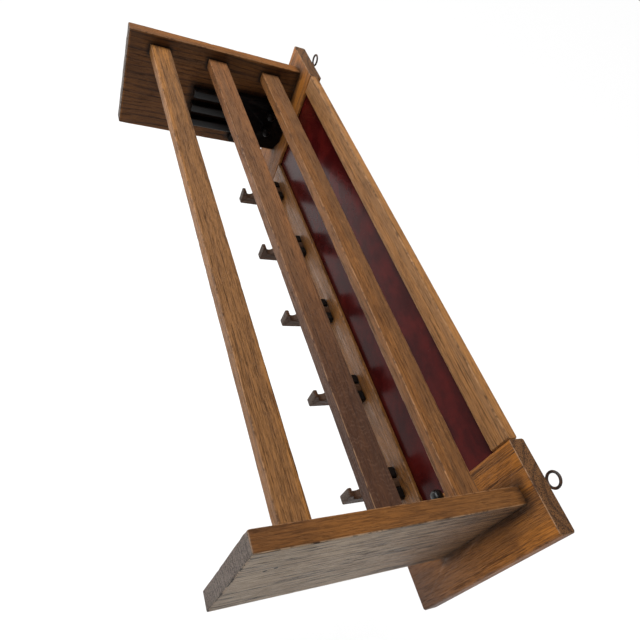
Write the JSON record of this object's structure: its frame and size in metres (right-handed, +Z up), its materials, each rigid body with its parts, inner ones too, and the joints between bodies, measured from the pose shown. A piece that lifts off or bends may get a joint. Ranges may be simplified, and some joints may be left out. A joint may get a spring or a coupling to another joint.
{
  "type": "wall coat rack",
  "caption": "Oak wall coat rack with a slatted hat shelf between two deep side brackets, sawn coat hooks over a lacquered back panel, and hanging eyes.",
  "frame": {"origin": "middle of the straight line through the centres of the two hanging eyes, on the wall plane", "axes": "+X along the rack to the right as seen from the front, +Y into the wall, +Z up; the front faces -Y"},
  "size_m": [1, 0.3418, 0.2897],
  "materials": {
    "oak": "waxed golden-brown oak, satin, rounded worn edges",
    "dark_oak": "darker stained oak, satin",
    "red_lacquer": "deep red gloss lacquer",
    "ebonised_wood": "black stained and polished",
    "iron": "dark forged iron, dull",
    "steel": "dull bright steel"
  },
  "bodies": {
    "root": {"stile_left": "oak", "bracket_left": "oak", "bracket_screw_left_1": "steel", "bracket_screw_left_2": "steel", "bracket_screw_left_3": "steel", "hanging_eye_left": "iron", "rib_left_1": "ebonised_wood", "rib_left_2": "ebonised_wood", "rib_left_3": "ebonised_wood", "corner_block_left": "ebonised_wood", "corner_knob_left_1": "ebonised_wood", "corner_knob_left_2": "ebonised_wood", "stile_right": "oak", "bracket_right": "oak", "bracket_screw_right_1": "steel", "bracket_screw_right_2": "steel", "bracket_screw_right_3": "steel", "hanging_eye_right": "iron", "rib_right_1": "ebonised_wood", "rib_right_2": "ebonised_wood", "rib_right_3": "ebonised_wood", "corner_block_right": "ebonised_wood", "corner_knob_right_1": "ebonised_wood", "corner_knob_right_2": "ebonised_wood", "top_rail": "oak", "hook_rail": "oak", "back_panel": "red_lacquer", "shelf_bar_rear": "oak", "shelf_bar_middle": "oak", "shelf_bar_front": "oak", "hook_1": "dark_oak", "peg_1_left": "ebonised_wood", "peg_1_right": "ebonised_wood", "hook_2": "dark_oak", "peg_2_left": "ebonised_wood", "peg_2_right": "ebonised_wood", "hook_3": "dark_oak", "peg_3_left": "ebonised_wood", "peg_3_right": "ebonised_wood", "hook_4": "dark_oak", "peg_4_left": "ebonised_wood", "peg_4_right": "ebonised_wood", "hook_5": "dark_oak", "peg_5_left": "ebonised_wood", "peg_5_right": "ebonised_wood"}
  },
  "joints": []
}
